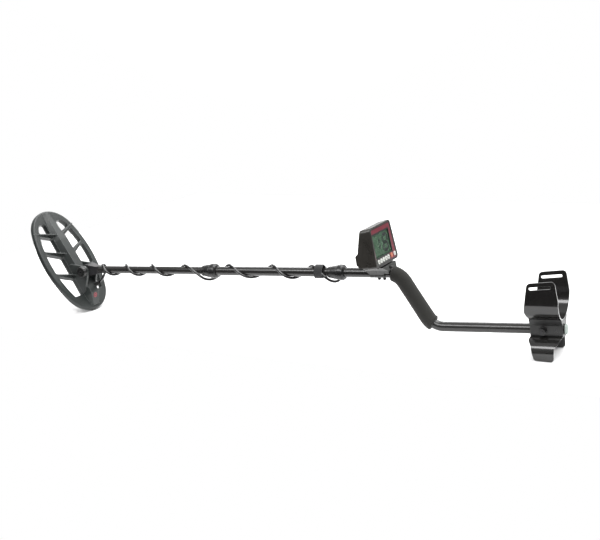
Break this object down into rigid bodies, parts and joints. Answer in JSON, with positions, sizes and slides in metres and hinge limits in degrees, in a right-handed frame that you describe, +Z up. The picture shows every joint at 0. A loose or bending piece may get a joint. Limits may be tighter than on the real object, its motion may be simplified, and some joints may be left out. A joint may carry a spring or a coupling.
{
  "type": "metal detector",
  "caption": "Hobby metal detector: oval openwork search coil on telescoping rods, S-shaped handle with foam grip, control box with display, and arm cuff on a stand.",
  "frame": {"origin": "middle of the footprint's bounding box, on the floor that the coil's heel and both stand feet touch", "axes": "+X from the search coil to the arm cuff, +Y to the user's right, +Z up"},
  "size_m": [1.3896, 0.1816, 0.2625],
  "materials": {
    "black_plastic": "moulded, satin",
    "black_steel": "blackened",
    "board": "solder mask",
    "box_plastic": "moulded, satin",
    "bracket_plastic": "moulded nylon",
    "brass": "turned",
    "cable_jacket": "semi gloss PVC",
    "cap_plastic": "grey cap",
    "cell_wrap": "plain wrap",
    "clear": "clear acrylic",
    "coil_plastic": "moulded ABS, fine grain",
    "copper": "varnished winding",
    "cuff_sheet": "formed sheet, semi gloss",
    "face_film": "printed film",
    "foam": "closed-cell foam",
    "hook_and_loop": "hook and loop",
    "key_orange": "silicone",
    "key_rubber": "silicone",
    "lcd_glass": "reflective display",
    "nylon": "moulded nylon",
    "rod_coating": "satin powder coat on aluminium",
    "soft_rubber": "matt",
    "steel": "zinc plated"
  },
  "bodies": {
    "handle": {"middle_tube": "rod_coating", "s_tube": "rod_coating", "foam_grip": "foam", "tube_end_cap": "cap_plastic", "housing_front": "box_plastic", "faceplate": "face_film", "lcd_window": "clear", "lcd_panel": "lcd_glass", "circuit_board": "board", "housing_rear": "box_plastic", "battery_cells": "cell_wrap", "battery_contacts": "steel", "battery_holder": "black_plastic", "speaker": "black_plastic", "headphone_jack": "black_plastic", "cable_socket": "black_plastic", "cable_plug": "black_plastic", "box_bracket": "bracket_plastic", "bracket_bolts": "steel", "bracket_nuts": "black_steel", "arm_cuff": "cuff_sheet", "cuff_saddle": "black_plastic", "cuff_rivets": "steel", "stand": "cuff_sheet", "stand_screws": "steel", "cuff_bolt": "black_steel", "cuff_nut": "black_plastic", "cable_tie": "hook_and_loop", "upper_cable": "cable_jacket", "button_leaf": "steel"},
    "lower_rod": {"rod_tip": "nylon", "lower_rod_tube": "rod_coating", "coil_lead": "cable_jacket", "lower_rod_cable": "cable_jacket"},
    "coil": {"coil_top_shell": "coil_plastic", "coil_bottom_cover": "coil_plastic", "transmit_winding": "copper", "receive_winding": "copper", "cable_gland": "soft_rubber", "pivot_bolt": "nylon", "pivot_washers": "soft_rubber"},
    "pivot_knob": {"pivot_knob": "black_plastic"},
    "lower_collar": {"lower_collar": "black_plastic"},
    "upper_collar": {"upper_collar": "black_plastic"},
    "battery_door": {"battery_door": "box_plastic"},
    "lock_button": {"lock_button": "brass"},
    "key_1": {"key_1": "key_rubber"},
    "key_2": {"key_2": "key_rubber"},
    "key_3": {"key_3": "key_rubber"},
    "key_4": {"key_4": "key_rubber"},
    "key_5": {"key_5": "key_rubber"},
    "key_6": {"key_6": "key_orange"},
    "key_7": {"key_7": "key_rubber"}
  },
  "joints": [
    {"name": "rod_slide", "type": "slide", "parent": "handle", "child": "lower_rod", "axis": [0.9987, 0, 0.0517], "range_m": [0, 0.15], "deforming": ["lower_rod_cable"]},
    {"name": "coil_tilt", "type": "hinge", "parent": "lower_rod", "child": "coil", "pos_m": [-0.55378, 0, 0.10804], "axis": [0, 1, 0], "range_deg": [-35, 60], "deforming": ["coil_lead"]},
    {"name": "knob_turn", "type": "hinge", "parent": "coil", "child": "pivot_knob", "pos_m": [-0.55378, -0.027, 0.10804], "axis": [0, -1, 0], "range_deg": [0, 360]},
    {"name": "lower_collar_turn", "type": "hinge", "parent": "handle", "child": "lower_collar", "pos_m": [-0.17029, 0, 0.12789], "axis": [0.9987, 0, 0.0517], "range_deg": [0, 90]},
    {"name": "upper_collar_turn", "type": "hinge", "parent": "handle", "child": "upper_collar", "pos_m": [0.17525, 0, 0.14578], "axis": [0.9987, 0, 0.0517], "range_deg": [0, 90]},
    {"name": "battery_door_open", "type": "hinge", "parent": "handle", "child": "battery_door", "pos_m": [0.25186, 0, 0.18229], "axis": [0, -1, 0], "range_deg": [0, 100]},
    {"name": "lock_button_press", "type": "slide", "parent": "handle", "child": "lock_button", "axis": [0, -1, 0], "range_m": [0, 0.0025], "stiffness_N_per_m": 1200, "springref_m": -0.001, "deforming": ["button_leaf"]},
    {"name": "key_1_press", "type": "slide", "parent": "handle", "child": "key_1", "axis": [-0.9833, 0, -0.1821], "range_m": [0, 0.0008], "stiffness_N_per_m": 1500, "springref_m": -0.0004},
    {"name": "key_2_press", "type": "slide", "parent": "handle", "child": "key_2", "axis": [-0.9833, 0, -0.1821], "range_m": [0, 0.0008], "stiffness_N_per_m": 1500, "springref_m": -0.0004},
    {"name": "key_3_press", "type": "slide", "parent": "handle", "child": "key_3", "axis": [-0.9833, 0, -0.1821], "range_m": [0, 0.0008], "stiffness_N_per_m": 1500, "springref_m": -0.0004},
    {"name": "key_4_press", "type": "slide", "parent": "handle", "child": "key_4", "axis": [-0.9833, 0, -0.1821], "range_m": [0, 0.0008], "stiffness_N_per_m": 1500, "springref_m": -0.0004},
    {"name": "key_5_press", "type": "slide", "parent": "handle", "child": "key_5", "axis": [-0.9833, 0, -0.1821], "range_m": [0, 0.0008], "stiffness_N_per_m": 1500, "springref_m": -0.0004},
    {"name": "key_6_press", "type": "slide", "parent": "handle", "child": "key_6", "axis": [-0.9833, 0, -0.1821], "range_m": [0, 0.0008], "stiffness_N_per_m": 1500, "springref_m": -0.0004},
    {"name": "key_7_press", "type": "slide", "parent": "handle", "child": "key_7", "axis": [-0.9833, 0, -0.1821], "range_m": [0, 0.0008], "stiffness_N_per_m": 1500, "springref_m": -0.0004}
  ]
}
